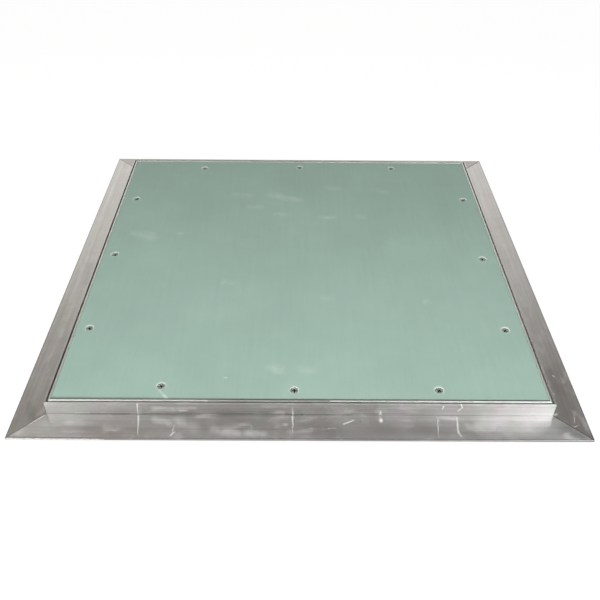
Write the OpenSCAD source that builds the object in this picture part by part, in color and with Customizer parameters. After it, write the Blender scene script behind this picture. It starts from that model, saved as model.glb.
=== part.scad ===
// Access hatch for a plasterboard wall or ceiling: a mitred aluminium frame with a flange, and a hinged
// door of plasterboard in an aluminium tray, held shut by two press-to-open magnetic latches.
// Millimetres. +Z is out of the wall, z = 0 is the back of the frame, x = y = 0 is the hatch's centre.
// The front edge (-Y) is the one that opens, and the pivots are near the back edge (+Y).

/* [Hatch] */
// Width over the outer frame's uprights, the size that the hatch is sold by
hatch_w = 400; // [320:10:600]
// Length over the outer frame's uprights
hatch_l = 400; // [320:10:600]
// Thickness of the wall's board, which the uprights stand level with
wall_board_t = 12.5; // [12.5:0.5:18]
// Gap left along each mitre between two rails
mitre_gap = 0.2; // [0.1:0.05:0.4]

/* [Outer frame] */
// Width of the flange that lies behind the wall's board
flange_w = 25; // [15:1:40]
// Thickness of the flange
flange_t = 2; // [1.5:0.1:3]
// Thickness of the upright web
web_t = 1.2; // [1:0.1:1.6]
// Depth of the frame behind the flange
rear_d = 22; // [22:1:40]
// Height of the web's foot under the lip
foot_h = 3; // [3:0.5:5]
// Thickness of the lip and of its upstand
lip_t = 1.4; // [1:0.1:1.6]
// Radius of the edges that a hand meets
edge_r = 0.35; // [0.2:0.05:0.5]

/* [Door frame] */
// Running gap between the door's rim and the outer frame
door_gap = 1.4; // [1.3:0.1:2.5]
// Thickness of the rim round the board
rim_t = 1.6; // [1.2:0.1:2]
// Width of the leg that the board lies on, from the rim's outer face
leg_w = 24; // [22:1:32]
// Thickness of the leg
leg_t = 1.5; // [1:0.1:1.6]
// Clear width of the key channel under the leg
door_channel_w = 8.6; // [8:0.1:9]
// Thickness of the rib that closes the key channel
rib_t = 1; // [0.8:0.1:1.2]

/* [Door board] */
// Thickness of the door's plasterboard
board_t = 12.5; // [9.5:0.5:15]
// Gap between the board's edge and the rim at the sides and the back
board_gap = 0.3; // [0.2:0.1:1]
// Gap between the board's edge and the rim at the front
board_front_gap = 0.9; // [0.2:0.1:1.5]
// How far the board's face lies under the rim's top
board_sunk = 0.5; // [0.2:0.1:1]

/* [Corner keys] */
// Thickness of the flat corner keys
key_t = 1.5; // [1:0.1:2]
// Length of each arm of a key, measured along its outer edge
key_arm = 42; // [30:1:60]
// Clearance beside a key in its channel
key_side_gap = 0.1; // [0.05:0.05:0.2]
// Clearance between a key and the channel's nibs
key_face_gap = 0.3; // [0.2:0.05:0.4]
// Reach of a channel's nibs over the key
nib_w = 1; // [0.8:0.1:1.4]
// Thickness of a channel's nibs
nib_t = 1; // [0.8:0.1:1.4]

/* [Board screws] */
// Distance of the screw lines from the rim's outer face
screw_inset = 14; // [14:0.5:18]
// Distance between the screws of one side
screw_pitch = 110; // [80:5:130]
// Diameter of the screw's shank
screw_d = 3.5; // [3:0.1:3.6]
// Diameter of the bugle head
screw_head_d = 8; // [7:0.1:9]
// Height of the bugle head down to the shank
screw_head_h = 4; // [3:0.1:5]
// Length of the screw, head included
screw_l = 25; // [20:1:26]
// How far a head lies under the board's face
screw_sunk = 0.5; // [0.2:0.1:1]
// Clearance round a screw in the board and the leg
screw_gap = 0.05; // [0.02:0.01:0.1]

/* [Pivots] */
// Distance of the pivot line from the rim's outer face at the back
pivot_inset = 16; // [14:0.5:20]
// Depth of the pivot line under the door's face
pivot_drop = 6; // [4:0.5:6.5]
// Diameter of a pivot pin
pin_d = 4; // [3:0.1:5]
// Diameter of the pin's flush countersunk head
pin_head_d = 5.6; // [5.6:0.1:7]
// Height of the pin's head
pin_head_h = 0.8; // [0.5:0.1:0.9]
// Radial clearance of a pin in the web, into which it is pressed
pin_seat_gap = 0.03; // [0.02:0.01:0.04]
// Radial running clearance of a pin in the door's rim
pin_run_gap = 0.05; // [0.03:0.01:0.08]

/* [Latches] */
// Distance of each latch from the middle of the front edge
latch_x = 60; // [50:5:75]
// Width of a latch housing over its body
latch_body_w = 18; // [14:1:22]
// Width of a latch housing over its ears
latch_ears_w = 38; // [36:1:44]
// Depth of a latch housing across the rail
latch_d = 11; // [10:0.5:12]
// Thickness of the ears
latch_ear_t = 1.8; // [1.5:0.1:2.5]
// Distance of the ears' screws from the latch's middle
ear_screw_x = 14.5; // [13:0.5:15]
// Diameter of the plunger's stem
plunger_d = 4.5; // [4:0.1:5]
// Diameter of the plunger's foot, which the housing's neck holds back
foot_d = 5.9; // [5.6:0.1:7]
// Thickness of the plunger's foot
plunger_foot_t = 2; // [1.5:0.1:2.5]
// Travel of the plunger when the latch lets go
plunger_travel = 4; // [3:0.5:4.5]
// Radial running clearance of the plunger in its housing
plunger_gap = 0.05; // [0.03:0.01:0.08]
// Height of the housing's neck
neck_h = 1.6; // [1:0.1:2]
// Travel that the door has left before its rib meets the housing
press_travel = 2.2; // [1.5:0.1:3]
// Diameter of the magnet in the plunger's tip
magnet_d = 3.2; // [2.5:0.1:3.4]
// Height of the magnet
magnet_h = 2; // [1.5:0.1:4]
// How far the magnet stands out of the plunger
magnet_proud = 0.3; // [0.1:0.1:0.5]
// Gap between the magnet and the strike plate with the door shut
strike_gap = 0.1; // [0.05:0.05:0.2]
// Length of a strike plate
strike_l = 24; // [16:1:40]
// Wire diameter of the latch spring
spring_wire = 0.5; // [0.3:0.05:0.6]
// Turns of the latch spring
spring_turns = 4.5; // [3:0.5:6]
// Diameter of the small latch screws
latch_screw_d = 2.9; // [2.5:0.1:3]
// Diameter of their pan heads
latch_screw_head_d = 5.4; // [5:0.1:6]
// Height of their pan heads
latch_screw_head_h = 1.8; // [1.5:0.1:2]
// Length of their shanks
latch_screw_l = 5; // [3.5:0.1:5.5]

/* [Hidden] */

// Sides and corners, counted anticlockwise from the front
FRONT = 0;
RIGHT = 1;
BACK = 2;
LEFT = 3;

// Heights
flange_z = rear_d;
flange_top = flange_z + flange_t;
face_z = flange_top + wall_board_t;
lip_top = foot_h + lip_t;
board_top = face_z - board_sunk;
board_bottom = board_top - board_t;
leg_bottom = board_bottom - leg_t;
key_slot_h = key_t + key_face_gap;
rib_bottom = leg_bottom - key_slot_h - nib_t;
pivot_z = face_z - pivot_drop;
screw_top = board_top - screw_sunk;

// Half sizes of the door over its rim, and of its board
door_inset = web_t + door_gap;
door_hw = hatch_w / 2 - door_inset;
door_hl = hatch_l / 2 - door_inset;
board_inset = rim_t + board_gap;
board_front_inset = rim_t + board_front_gap;
rim_r = 0.44 * rim_t;

// The two key channels share one centre line, measured inward from the uprights' outer faces
channel_line = door_inset + rim_t + door_channel_w / 2;
frame_channel_w = 2 * (channel_line - web_t);
lip_w = web_t + frame_channel_w + lip_t;
pivot_y = door_hl - pivot_inset;

// Latch heights
latch_y = -(hatch_l / 2 - channel_line);
housing_top = rib_bottom - press_travel;
neck_z = housing_top - neck_h;
strike_z = leg_bottom - key_t;
magnet_top = strike_z - strike_gap;
stem_top = magnet_top - magnet_proud;
foot_spare = 0.4;
plunger_foot_top = neck_z - foot_spare - plunger_travel;
plunger_foot_z = plunger_foot_top - plunger_foot_t;
latch_screw_clear = 0.05;

// Each screw was driven by hand, so it stands a little off its mark: [along X, along Y], side by side
screw_offsets = [
    [[-1.5, 3], [-5, -1], [0.5, -0.5]],
    [[-3.5, -0.5], [-2, -3], [-1, 0.5]],
    [[-1, -1], [0, 0], [-3, -3.5]],
    [[2, -1.5], [-1, 1.5], [-1, -0.5]]
];

function turn(p, a) = [p[0] * cos(a) - p[1] * sin(a), p[0] * sin(a) + p[1] * cos(a)];
function arc(c, r, a0, a1, n = 3) = [for (i = [0:n]) c + r * [cos(a0 + (a1 - a0) * i / n), sin(a0 + (a1 - a0) * i / n)]];

// Mark of one screw: its side, and its place -1, 0 or 1 along that side
function screw_mark(side, place) =
    let(reach = (side % 2 == 0 ? door_hl : door_hw) - screw_inset)
    turn([place * screw_pitch, -reach], 90 * side) + screw_offsets[side][place + 1];
screw_marks = [for (side = [FRONT:LEFT], place = [-1:1]) screw_mark(side, place)];

// Section of the outer frame: x outward from the upright's outer face, y up from the frame's back.
// Flange outside, foot and key channel behind, every free edge rounded.
function frame_section() = let(r = edge_r, up = lip_top + key_slot_h, in = web_t - lip_w) concat(
    [[0, 0], [0, flange_z]],
    arc([flange_w - r, flange_z + r], r, -90, 0),
    arc([flange_w - r, flange_top - r], r, 0, 90),
    [[0, flange_top]],
    arc([-r, face_z - r], r, 0, 90),
    arc([-web_t + r, face_z - r], r, 90, 180),
    [[-web_t, up + nib_t], [-web_t - nib_w, up + nib_t], [-web_t - nib_w, up], [-web_t, up]],
    [[-web_t, lip_top], [lip_t - lip_w, lip_top]],
    [[lip_t - lip_w, up], [lip_t - lip_w + nib_w, up], [lip_t - lip_w + nib_w, up + nib_t]],
    arc([-lip_w + r, up + nib_t - r], r, 90, 180),
    [[-lip_w, foot_h], [-web_t, foot_h], [-web_t, 0]]
);

// Section of the door frame: x outward from the rim's outer face, y up from the frame's back.
// Round-topped rim round the board, leg under it, and a key channel with nibs under the leg.
function door_section() = let(r = edge_r, up = leg_bottom - key_slot_h, wall = -rim_t - door_channel_w) concat(
    arc([-rim_r, face_z - rim_r], rim_r, 0, 90, 5),
    arc([-rim_t + rim_r, face_z - rim_r], rim_r, 90, 180, 5),
    [[-rim_t, board_bottom]],
    arc([-leg_w + r, board_bottom - r], r, 90, 180),
    [[-leg_w, leg_bottom], [wall - rib_t, leg_bottom], [wall - rib_t, rib_bottom]],
    [[wall + nib_w, rib_bottom], [wall + nib_w, up], [wall, up], [wall, leg_bottom]],
    [[-rim_t, leg_bottom], [-rim_t, up], [-rim_t - nib_w, up], [-rim_t - nib_w, rib_bottom]],
    [[0, rib_bottom]]
);

// A length of a section for one side, cut at both ends on the mitre. hw and hl are the half sizes over
// the faces that the section is measured from; reach_out and reach_in are how far it goes either way.
module mitred_rail(side, section, hw, hl, reach_out, reach_in) {
    long = side % 2 == 0 ? hw : hl;
    wide = side % 2 == 0 ? hl : hw;
    cut = mitre_gap / sqrt(2);
    outer = long + reach_out - cut;
    inner = long - reach_in - cut;
    rotate([0, 0, 90 * side]) translate([0, -wide, 0]) intersection() {
        rotate([90, 0, -90]) linear_extrude(height = 2 * (long + reach_out), center = true) polygon(section);
        translate([0, 0, -1]) linear_extrude(height = face_z + 2)
            polygon([[-outer, -reach_out], [outer, -reach_out], [inner, reach_in], [-inner, reach_in]]);
    }
}

module frame_rail(side) {
    color([0.72, 0.70, 0.68]) mitred_rail(side, frame_section(), hatch_w / 2, hatch_l / 2, flange_w, lip_w);
}

module door_rail(side) {
    color([0.78, 0.77, 0.75]) difference() {
        mitred_rail(side, door_section(), door_hw, door_hl, 0, leg_w);
        for (place = [-1:1])
            let(p = screw_mark(side, place))
            translate([p[0], p[1], leg_bottom - 1]) cylinder(h = leg_t + 2, r = screw_d / 2 + screw_gap, $fn = 32);
    }
}

// Flat L-shaped key for the corner that starts a side, with its outer edge w / 2 outside the channel line
module corner_key(corner, w, z) {
    outer_w = hatch_w / 2 - channel_line + w / 2;
    outer_l = hatch_l / 2 - channel_line + w / 2;
    sx = corner == 0 || corner == 3 ? -1 : 1;
    sy = corner < 2 ? -1 : 1;
    color([0.66, 0.67, 0.68]) translate([sx * outer_w, sy * outer_l, z]) linear_extrude(height = key_t)
        scale([-sx, -sy]) polygon([[0, 0], [key_arm, 0], [key_arm, w], [w, w], [w, key_arm], [0, key_arm]]);
}

module frame_key(corner) {
    corner_key(corner, frame_channel_w - 2 * key_side_gap, lip_top);
}

module door_key(corner) {
    corner_key(corner, door_channel_w - 2 * key_side_gap, leg_bottom - key_t);
}

// Outline of a bugle-head screw or its hole, as a half section: flat top, flared head, shank, grown by g
function bugle(g, tip) = let(rh = screw_head_d / 2, rs = screw_d / 2, n = 6) concat(
    [[0, 0], [rh + g, 0]],
    [for (i = [0:n]) let(t = i / n) [rs + g + (rh - rs) * pow(1 - t, 2), -0.6 - (screw_head_h - 0.6) * t]],
    tip ? [[rs + g, -screw_l + 6], [0, -screw_l]] : [[rs + g, -screw_l], [0, -screw_l]]
);

module door_board() {
    w = 2 * (door_hw - board_inset);
    l = 2 * door_hl - board_inset - board_front_inset;
    color([0.58, 0.68, 0.63]) difference() {
        translate([-w / 2, board_front_inset - door_hl, board_bottom]) cube([w, l, board_t]);
        for (p = screw_marks) translate([p[0], p[1], screw_top]) {
            rotate_extrude($fn = 32) polygon(bugle(screw_gap, false));
            cylinder(h = 2, r = screw_head_d / 2 + screw_gap, $fn = 32);
        }
    }
}

// Cross recess of a screw head, cut down from z = 0
module cross_recess(w, l, h) {
    for (a = [0, 90]) rotate([0, 0, a]) translate([-l / 2, -w / 2, -h]) cube([l, w, h + 1]);
}

module board_screws() {
    color([0.16, 0.16, 0.17])
    for (i = [0:len(screw_marks) - 1]) translate([screw_marks[i][0], screw_marks[i][1], screw_top]) difference() {
        rotate_extrude($fn = 32) polygon(bugle(0, true));
        rotate([0, 0, 37 * i]) cross_recess(0.9, 4.4, 1.8);
    }
}

// Half section of a pivot pin from its flush head inward, grown by g
function pin_section(length, g) = let(rp = pin_d / 2, rh = pin_head_d / 2, bevel = 0.4) [
    [0, 0], [rh + g, 0], [rp + g, pin_head_h], [rp + g, length - bevel], [rp + g - bevel, length], [0, length]
];

// Places something made along +Z on the pivot line at one side, pointing inward from the upright's face
module at_pivot(side) {
    sx = side == LEFT ? -1 : 1;
    translate([sx * hatch_w / 2, pivot_y, pivot_z]) rotate([0, -90 * sx, 0]) children();
}

module pivot_pin(side) {
    length = door_inset + rim_t;
    color([0.62, 0.63, 0.65]) at_pivot(side) rotate_extrude($fn = 48) polygon(pin_section(length, 0));
}

module frame_side_rail(side) {
    difference() {
        frame_rail(side);
        at_pivot(side) {
            translate([0, 0, -0.01]) rotate_extrude($fn = 48) polygon(pin_section(web_t + 1, pin_seat_gap));
            cylinder(h = web_t + 1, r = pin_d / 2 + pin_seat_gap, $fn = 48);
        }
    }
}

module door_side_rail(side) {
    difference() {
        door_rail(side);
        at_pivot(side) translate([0, 0, web_t]) cylinder(h = door_gap + rim_t + 1, r = pin_d / 2 + pin_run_gap, $fn = 48);
    }
}

module at_latch(sx) {
    translate([sx * latch_x, latch_y, 0]) children();
}

module frame_front_rail() {
    difference() {
        frame_rail(FRONT);
        for (sx = [-1, 1], ear = [-1, 1]) at_latch(sx) translate([ear * ear_screw_x, 0, foot_h - 1])
            cylinder(h = lip_t + 2, r = latch_screw_d / 2 + latch_screw_clear, $fn = 32);
    }
}

// Rounded rectangle in plan, made of a cross and four corner discs
module round_plate(w, d, r, h) {
    translate([-w / 2 + r, -d / 2, 0]) cube([w - 2 * r, d, h]);
    translate([-w / 2, -d / 2 + r, 0]) cube([w, d - 2 * r, h]);
    for (sx = [-1, 1], sy = [-1, 1]) translate([sx * (w / 2 - r), sy * (d / 2 - r), 0]) cylinder(h = h, r = r, $fn = 32);
}

module latch_housing(sx) {
    color([0.90, 0.90, 0.88]) at_latch(sx) translate([0, 0, lip_top]) difference() {
        union() {
            round_plate(latch_ears_w, latch_d, 2.5, latch_ear_t);
            round_plate(latch_body_w, latch_d, 1.5, housing_top - lip_top);
        }
        translate([0, 0, -1]) cylinder(h = neck_z - lip_top + 1, r = foot_d / 2 + plunger_gap, $fn = 48);
        cylinder(h = housing_top, r = plunger_d / 2 + plunger_gap, $fn = 48);
        for (ear = [-1, 1]) translate([ear * ear_screw_x, 0, -1])
            cylinder(h = latch_ear_t + 2, r = latch_screw_d / 2 + latch_screw_clear, $fn = 32);
    }
}

module latch_plunger(sx) {
    color([0.20, 0.20, 0.21]) at_latch(sx) difference() {
        union() {
            translate([0, 0, plunger_foot_z]) cylinder(h = plunger_foot_t, r = foot_d / 2, $fn = 48);
            translate([0, 0, plunger_foot_z]) cylinder(h = stem_top - plunger_foot_z, r = plunger_d / 2, $fn = 48);
        }
        translate([0, 0, magnet_top - magnet_h]) cylinder(h = magnet_h, r = magnet_d / 2 + plunger_gap, $fn = 48);
    }
}

module latch_magnet(sx) {
    color([0.75, 0.75, 0.77]) at_latch(sx) translate([0, 0, magnet_top - magnet_h])
        cylinder(h = magnet_h, r = magnet_d / 2, $fn = 48);
}

// Coil spring between the lip and the plunger's foot, as one tube swept along a helix
module latch_spring(sx) {
    sides = 6;
    steps = 14 * spring_turns;
    wire_r = spring_wire / 2;
    coil_r = foot_d / 2 - wire_r - 0.1;
    z0 = lip_top + wire_r + 0.02;
    rise = plunger_foot_z - lip_top - spring_wire - 0.04;
    points = [for (i = [0:steps], j = [0:sides - 1])
        let(a = 360 * spring_turns * i / steps, b = 360 * j / sides, r = coil_r + wire_r * cos(b))
        [r * cos(a), r * sin(a), z0 + rise * i / steps + wire_r * sin(b)]];
    walls = [for (i = [0:steps - 1], j = [0:sides - 1])
        let(k = (j + 1) % sides)
        [i * sides + j, (i + 1) * sides + j, (i + 1) * sides + k, i * sides + k]];
    first = [for (j = [0:sides - 1]) j];
    last = [for (j = [sides - 1:-1:0]) steps * sides + j];
    color([0.70, 0.71, 0.73]) at_latch(sx) polyhedron(points, concat([first], walls, [last]));
}

module strike_plate(sx) {
    d = door_channel_w - 2 * key_side_gap;
    color([0.66, 0.67, 0.68]) at_latch(sx) translate([-strike_l / 2, -d / 2, strike_z]) cube([strike_l, d, key_t]);
}

module latch_screws() {
    color([0.70, 0.71, 0.73])
    for (sx = [-1, 1], ear = [-1, 1]) at_latch(sx) translate([ear * ear_screw_x, 0, lip_top + latch_ear_t]) difference() {
        union() {
            cylinder(h = latch_screw_head_h, r1 = latch_screw_head_d / 2, r2 = latch_screw_head_d / 2 - 0.5, $fn = 32);
            translate([0, 0, -latch_screw_l]) cylinder(h = latch_screw_l + 0.5, r = latch_screw_d / 2, $fn = 32);
        }
        translate([0, 0, latch_screw_head_h]) rotate([0, 0, 20 + 50 * ear]) cross_recess(0.7, 3, 1.2);
    }
}

frame_front_rail();  // frame_rail_front
frame_side_rail(RIGHT);  // frame_rail_right
frame_rail(BACK);  // frame_rail_back
frame_side_rail(LEFT);  // frame_rail_left
frame_key(0);  // frame_key_front_left
frame_key(1);  // frame_key_front_right
frame_key(2);  // frame_key_back_right
frame_key(3);  // frame_key_back_left
door_rail(FRONT);  // door_rail_front
door_side_rail(RIGHT);  // door_rail_right
door_rail(BACK);  // door_rail_back
door_side_rail(LEFT);  // door_rail_left
door_key(0);  // door_key_front_left
door_key(1);  // door_key_front_right
door_key(2);  // door_key_back_right
door_key(3);  // door_key_back_left
door_board();
board_screws();
pivot_pin(LEFT);  // pivot_pin_left
pivot_pin(RIGHT);  // pivot_pin_right
latch_housing(-1);  // latch_housing_left
latch_housing(1);  // latch_housing_right
latch_plunger(-1);  // latch_plunger_left
latch_plunger(1);  // latch_plunger_right
latch_magnet(-1);  // latch_magnet_left
latch_magnet(1);  // latch_magnet_right
latch_spring(-1);  // latch_spring_left
latch_spring(1);  // latch_spring_right
strike_plate(-1);  // strike_plate_left
strike_plate(1);  // strike_plate_right
latch_screws();
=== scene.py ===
"""Access hatch for a plasterboard wall: the finish of each piece, its threaded screws and a studio."""

import math
import random

import bmesh
import bpy
from mathutils import Matrix, Vector, noise


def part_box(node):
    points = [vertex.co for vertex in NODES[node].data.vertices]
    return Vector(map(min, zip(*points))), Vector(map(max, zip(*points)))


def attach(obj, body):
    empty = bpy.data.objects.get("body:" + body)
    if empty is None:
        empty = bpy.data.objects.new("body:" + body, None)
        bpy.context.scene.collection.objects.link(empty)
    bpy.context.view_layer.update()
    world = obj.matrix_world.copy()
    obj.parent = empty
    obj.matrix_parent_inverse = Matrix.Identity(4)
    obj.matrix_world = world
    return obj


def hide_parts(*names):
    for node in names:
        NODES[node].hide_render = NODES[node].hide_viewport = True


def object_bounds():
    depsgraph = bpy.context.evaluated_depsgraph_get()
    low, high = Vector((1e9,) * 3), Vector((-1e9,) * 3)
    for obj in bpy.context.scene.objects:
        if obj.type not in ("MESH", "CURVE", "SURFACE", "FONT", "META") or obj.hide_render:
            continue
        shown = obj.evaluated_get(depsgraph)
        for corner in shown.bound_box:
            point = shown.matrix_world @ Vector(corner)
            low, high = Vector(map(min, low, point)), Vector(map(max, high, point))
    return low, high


bl_info = {
    "name": "Access hatch",
    "version": (1, 0, 0),
    "blender": (4, 5, 0),
    "location": "View3D > Sidebar > Hatch",
    "description": "Finishes an aluminium access hatch with a plasterboard door and sets it in a studio",
    "category": "Object",
}

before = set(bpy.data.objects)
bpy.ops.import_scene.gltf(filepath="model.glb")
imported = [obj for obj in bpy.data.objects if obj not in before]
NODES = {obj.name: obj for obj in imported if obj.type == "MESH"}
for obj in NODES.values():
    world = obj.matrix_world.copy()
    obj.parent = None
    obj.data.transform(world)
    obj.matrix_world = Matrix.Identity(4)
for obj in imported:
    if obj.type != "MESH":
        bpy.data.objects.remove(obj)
CAD_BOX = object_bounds()
MM = 0.001
CORNERS = ("front_left", "front_right", "back_right", "back_left")
BOARD_LOW, BOARD_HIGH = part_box("door_board")
SQUARE = ((-1, -1), (1, -1), (1, 1), (-1, 1))
SENSOR_MM = 36

# Where the faces that bear marks lie, in millimetres from the hatch's middle and from its back.
FLANGE_EDGE = 225
FLANGE_FACE = 24
UPRIGHT = 200
BOARD_FACE = 36


def linear(code):
    """An sRGB hex colour as linear red, green and blue."""
    parts = [int(code[i : i + 2], 16) / 255 for i in (1, 3, 5)]
    return tuple(p / 12.92 if p <= 0.04045 else ((p + 0.055) / 1.055) ** 2.4 for p in parts)


def shade(colour, by=1.0):
    """A colour times one factor, or times one for each of its parts, as four numbers for a socket."""
    factors = by if isinstance(by, tuple) else (by, by, by)
    return tuple(min(1.0, c * k) for c, k in zip(colour, factors)) + (1.0,)


def colour_setting(label, description, code):
    """A colour that the sidebar shows, given by its sRGB hex value."""
    return bpy.props.FloatVectorProperty(
        name=label, description=description, size=3, min=0, max=1, subtype="COLOR", default=linear(code),
    )


def number_setting(label, description, low, high, default):
    """A number that the sidebar shows, with its least and greatest value."""
    return bpy.props.FloatProperty(name=label, description=description, min=low, max=high, default=default)


def per_metre(size_mm):
    """Texture scale at which one feature of a pattern is size_mm across."""
    return 1 / (size_mm * MM)


def on_level(height, *strokes):
    """Strokes on a level face, each given by x and y of both ends, widths and its strength."""
    return [((x, y, height), (x_end, y_end, height), *rest) for x, y, x_end, y_end, *rest in strokes]


def on_upright(*strokes):
    """Strokes on the front upright, each given by x and height of both ends, widths and its strength."""
    return [((x, -UPRIGHT, z), (x_end, -UPRIGHT, z_end), *rest) for x, z, x_end, z_end, *rest in strokes]


# Section of a torn paper ring, from the pit over the curl to the sheet: share of the head's radius, and
# height over the board's face in millimetres.
TORN_SECTION = ((0.80, -0.66), (0.87, -0.34), (0.97, -0.02), (1.04, 0.09), (1.14, 0.07), (1.27, -0.03))

# Marks on the rails and the board, in millimetres. Scratches are narrow and bright, rubs wide and
# soft, and dirt is dark; some bright strokes are painted highlights and reflections, and some dark ones
# are painted shade. Strokes that run off their face have all three coordinates of both ends.
FRONT_MARKS_AND_HIGHLIGHTS = on_level(
    FLANGE_FACE,
    (-127.4, -202, -124.3, -222.6, 1.3, 0.3, 0.9),
    (-6.2, -201.5, -6, -219, 1.6, 0.2, 0.8),
    (33.8, -209.4, 41.6, -205.4, 1.4, 1.1, 1),
    # Painted reflection in the flange of the scratch on the upright just above it.
    (62.9, -204.6, 63.3, -206.4, 2.8, 3, 1),
    (107.9, -204.3, 105.7, -221.5, 1.1, 0.5, 0.55),
    (123.3, -202.2, 121.5, -217.9, 1.8, 1.2, 0.7),
    (121.8, -216, 123.2, -221.5, 1.8, 1.2, 0.5),
    (-98.2, -210.4, -98.6, -217.5, 0.3, 0.8, 0.7),
    (-99.5, -221.5, -96.5, -217.5, 1.5, 0.8, 1),
    (-38, -211.5, -37.8, -218.5, 0.7, 0.4, 0.35),
    (21.5, -213.8, 27.7, -213.8, 0.9, 0.9, 0.35),
    (-201.5, -202, -211, -211.4, 1.3, 0.4, 0.9),
) + on_upright(
    (-127.2, 36.3, -128.2, 24, 1.3, 0.6, 1),
    (-6.3, 31.5, -6, 24.5, 0.4, 1.2, 0.9),
    (36, 26.6, 37, 29.4, 0.5, 0.4, 0.5),
    (62.8, 28.5, 62.9, 25.4, 1.2, 2.6, 0.8),
    (111.7, 34.4, 110.9, 30.8, 1.6, 1, 1),
    (125.2, 36.3, 126.6, 33, 1.5, 1.3, 1),
    (126.6, 33.2, 123.8, 29.4, 1.4, 1.5, 1),
    (-176.5, 25.2, -166, 25.2, 1.3, 0.8, 0.7),
    (-157, 25.4, -151, 25.2, 1.1, 0.6, 0.5),
) + [
    ((2.5, -200, 28), (4.5, -204, 24), 0.9, 0.4, 0.35),
    # Painted highlights: bright stretches along the rounded top edge of the front upright.
    ((-139.5, -200.6, 36.2), (-134, -200.6, 36.2), 0.9, 0.9, 1),
    ((-127, -200.6, 36.2), (-118, -200.6, 36.2), 1, 1, 1),
    ((-96, -200.6, 36.2), (-70, -200.6, 36.2), 0.9, 0.9, 0.9),
    ((-52, -200.6, 36.2), (-28, -200.6, 36.2), 0.9, 0.9, 0.8),
    ((-6, -200.6, 36.2), (48, -200.6, 36.2), 0.9, 0.9, 0.8),
    ((96, -200.6, 36.2), (150, -200.6, 36.2), 0.8, 0.8, 0.6),
    ((-225, -225.2, 22.9), (-150, -225.2, 22.9), 2.6, 1.4, 1),
]
FRONT_RUBS = on_level(
    FLANGE_FACE,
    (-114, -205.5, -103, -209.2, 8, 7, 0.5),
    (-95, -208, -82, -215, 11, 13, 0.34),
    (-66, -215, -50, -219, 9, 10, 0.4),
    (-40, -219, -28, -220, 8, 7, 0.34),
    (-20, -207, -18, -211, 6, 5, 0.3),
    (-8, -219, 4, -220, 8, 7, 0.36),
    (-12.5, -210, -11, -210.5, 3.6, 3.6, 0.6),
    (-180, -209, -166, -210, 9, 9, 0.3),
    (-152, -214, -142, -216, 7, 7, 0.26),
    (148, -211.5, 151.5, -211.8, 4, 4, 0.65),
    (155.6, -211.2, 158.2, -211.4, 3.6, 3.6, 0.55),
    (108, -202.8, 122, -203, 3.4, 4, 0.4),
    (140, -211, 182, -211.5, 15, 15, 0.55),
) + on_upright(
    (-114, 30.9, -100, 29.4, 7, 5.5, 0.62),
    (-97, 31, -82, 30.8, 4.5, 4.5, 0.55),
    (-95, 28.3, -89, 28.2, 2.6, 2.6, 1),
    (36, 28.5, 42.5, 28, 4.4, 3.6, 0.6),
    (60, 29.5, 66, 29.5, 5.5, 5.5, 0.4),
    (29, 25, 35, 25, 2.6, 2.6, 0.3),
    (-30, 33.5, -12, 34, 4, 3, 0.3),
    (-150, 34, -138, 34.2, 3, 3, 0.3),
)
FRONT_DIRT_AND_SHADE = on_level(
    FLANGE_FACE,
    (46.4, -206.6, 47.4, -206.8, 1.6, 1.6, 0.3),
    (200, -200, 225, -225, 1, 0.8, 0.8),
    (206, -213, 216, -221.5, 15, 8, 0.32),
    (100, -224, 190, -224, 1.2, 1.2, 0.25),
    (-225, -223.6, -150, -224.4, 1.1, 0.8, 0.6),
) + on_upright(
    # Painted shade: a faint dark wash over the middle of the front upright, standing for its dark
    # reflection.
    (-110, 31, 150, 31, 15, 15, 0.12),
    (40, 26, 92, 26, 0.6, 0.5, 0.6),
    (38, 30, 96, 30.2, 0.5, 0.4, 0.4),
    (-120, 34, -60, 33.8, 0.6, 0.6, 0.3),
    (-62, 28, -20, 27.6, 1.2, 1.8, 0.3),
) + [
    # Painted shade: dark soft bands along the corner of the front upright and flange, darkest in the
    # middle.
    ((-176, -200.2, 24.2), (-134, -200.2, 24.2), 0.9, 0.9, 0.75),
    ((-134, -200.3, 24.2), (-118, -200.3, 24.4), 0.7, 1.6, 0.35),
    ((-118, -200.3, 24.5), (-100, -200.3, 24.6), 3, 4.5, 0.24),
    ((-100, -200.3, 24.6), (-30, -200.3, 24.6), 5, 5, 0.28),
    ((-30, -200.3, 24.5), (40, -200.3, 24.3), 4.5, 1.6, 0.28),
    ((-12, -200.3, 24.3), (2, -200.3, 24.3), 1, 1, 0.8),
]
RIGHT_MARKS_AND_LIT_STRIP = on_level(
    FLANGE_FACE,
    (211.9, -155, 213.2, -156.4, 1.4, 1, 1),
    (206.6, -175.4, 207.2, -176.6, 1.4, 1, 0.9),
    (213.2, -211.4, 218.2, -209, 1, 0.5, 0.9),
    (216, -201.6, 214.7, -206.8, 0.9, 0.5, 0.8),
    (217.5, -196, 219.5, -199, 0.7, 0.4, 0.5),
    (203, -198, 201.6, -199, 2, 2, 1),
    (205, -203.5, 214, -212.5, 0.5, 0.4, 0.35),
) + [
    # Painted light: a pale strip along the inner face of the right upright, lightening the shaded gap by
    # the door.
    ((197.6, -196, 35), (197.6, 196, 35), 3, 3, 1),
]
RIGHT_RUBS = on_level(
    FLANGE_FACE,
    (208, -120, 214, -104, 7, 8, 0.2),
    (212, -60, 207, -40, 6, 6, 0.16),
    (211, 40, 213, 66, 5, 7, 0.16),
)
RIGHT_DIRT = on_level(
    FLANGE_FACE,
    (200, -200, 225, -225, 1, 0.8, 0.8),
    (200, 200, 225, 225, 1, 1, 0.8),
    (218, -221, 203, -206, 5, 3, 0.3),
    (214, -198, 211, -150, 14, 9, 0.17),
)
BACK_DIRT = on_level(
    FLANGE_FACE,
    (200, 200, 225, 225, 1, 1, 0.8),
)
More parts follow.
